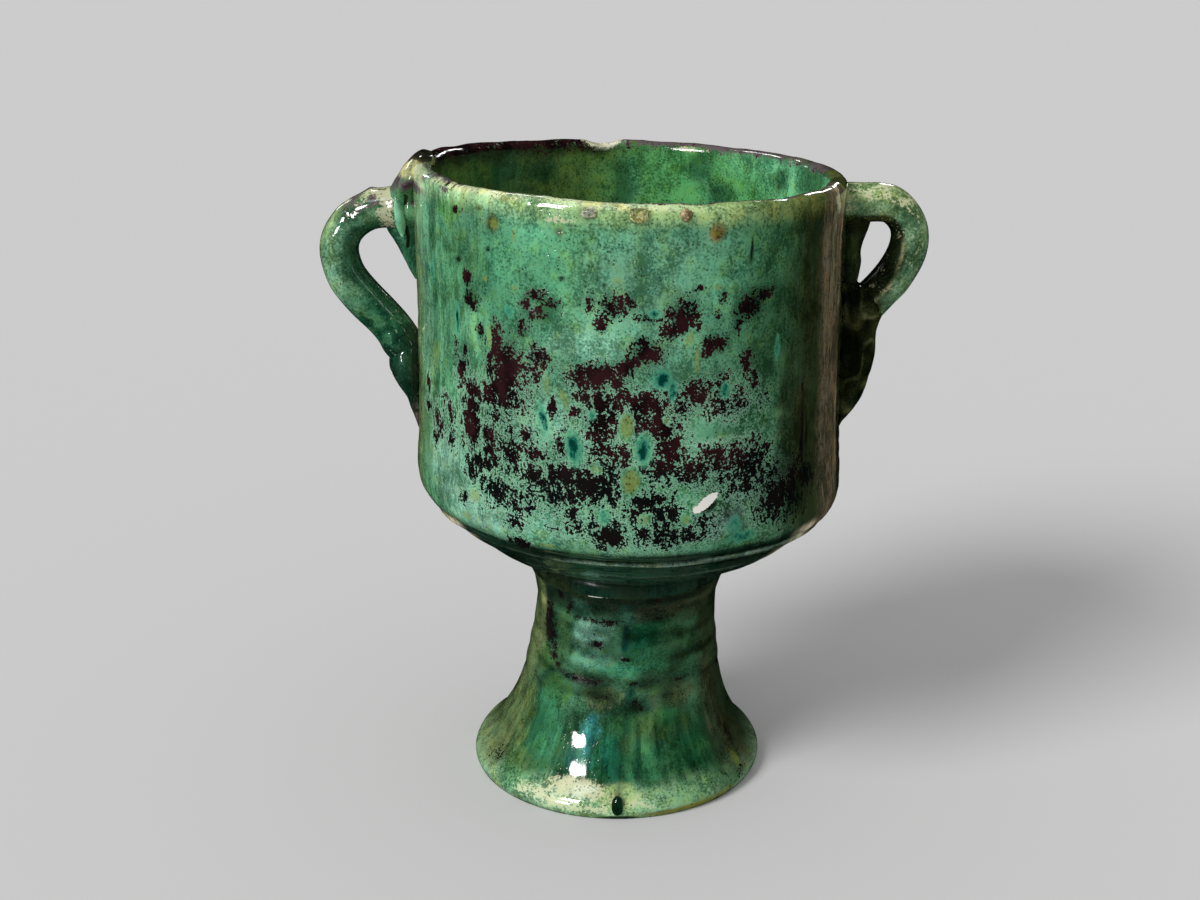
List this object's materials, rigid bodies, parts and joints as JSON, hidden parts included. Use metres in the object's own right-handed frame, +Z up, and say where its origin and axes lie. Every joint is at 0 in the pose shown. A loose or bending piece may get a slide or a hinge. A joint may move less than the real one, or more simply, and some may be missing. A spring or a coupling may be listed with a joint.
{
  "type": "ceramic planter",
  "caption": "Footed round planter with straight walls, a bevelled underside, a hollow flared pedestal and two unlike looped side handles.",
  "frame": {"origin": "on the floor, at the middle of the overall width over both handles and of the depth of the bowl", "axes": "+Z up; -Y is the front, the side with the three stilt scars; +X towards the shorter right handle"},
  "size_m": [0.2865, 0.2058, 0.3072],
  "materials": {
    "bowl_glaze": "glossy copper-green glaze with brown-black manganese patches",
    "pedestal_glaze": "glossy streaked green glaze",
    "collar_glaze": "glossy dark green glaze",
    "left_handle_glaze": "glossy green glaze over pale clay",
    "right_handle_glaze": "glossy green glaze over pale clay",
    "rim_wad_glaze": "thin pale and brown glaze",
    "left_weld_glaze": "glossy dark green glaze",
    "right_root_glaze": "glossy olive glaze",
    "right_weld_glaze": "glossy dark olive glaze",
    "scar_glaze": "glossy beads of glaze",
    "bead_glaze": "glossy bead of glaze"
  },
  "bodies": {
    "root": {"bowl": "bowl_glaze", "pedestal": "pedestal_glaze", "neck_collar": "collar_glaze", "left_handle": "left_handle_glaze", "right_handle": "right_handle_glaze", "left_rim_wad": "rim_wad_glaze", "left_lower_weld": "left_weld_glaze", "right_upper_weld": "right_root_glaze", "right_lower_weld": "right_weld_glaze", "rim_stilt_scars": "scar_glaze", "foot_glaze_bead": "bead_glaze"}
  },
  "joints": []
}
